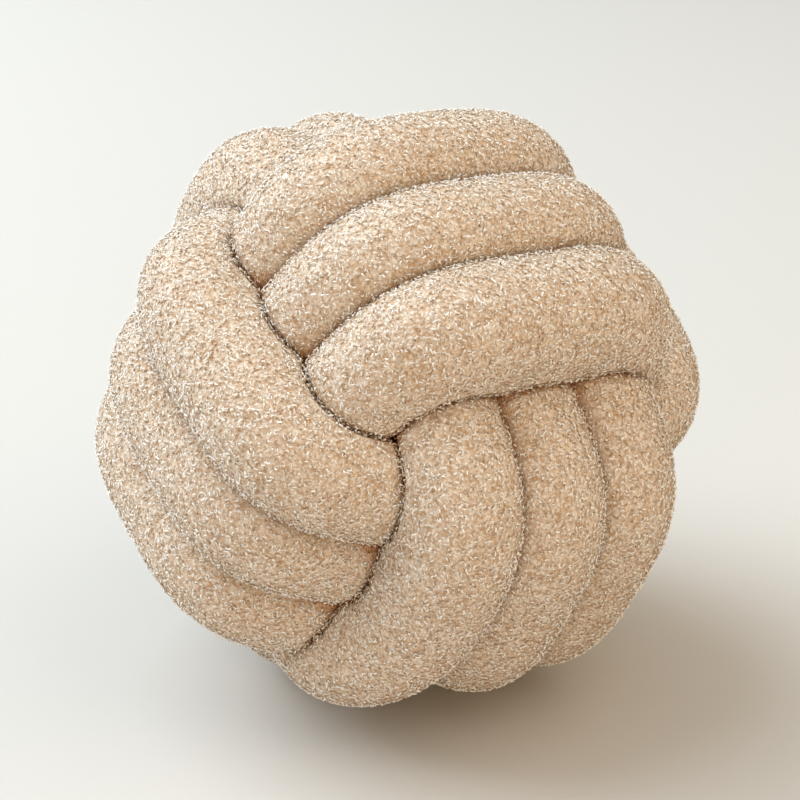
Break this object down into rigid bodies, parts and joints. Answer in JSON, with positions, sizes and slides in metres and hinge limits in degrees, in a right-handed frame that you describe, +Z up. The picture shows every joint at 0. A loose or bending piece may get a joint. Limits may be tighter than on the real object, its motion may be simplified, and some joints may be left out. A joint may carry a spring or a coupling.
{
  "type": "knot cushion",
  "caption": "Round throw cushion: a fat stuffed tube of looped-pile cloth wound into a tight ball knot, with a small flat spot to rest on.",
  "frame": {"origin": "middle of the cushion's box, on the surface that it rests on", "axes": "+Z up; -Y is the front, where three bands of the tube meet a little above the middle; +X is to the right seen from the front"},
  "size_m": [0.3062, 0.3048, 0.2988],
  "materials": {
    "looped_cloth": "cream-beige looped pile, soft and matt"
  },
  "bodies": {
    "root": {"knotted_tube": "looped_cloth"}
  },
  "joints": []
}
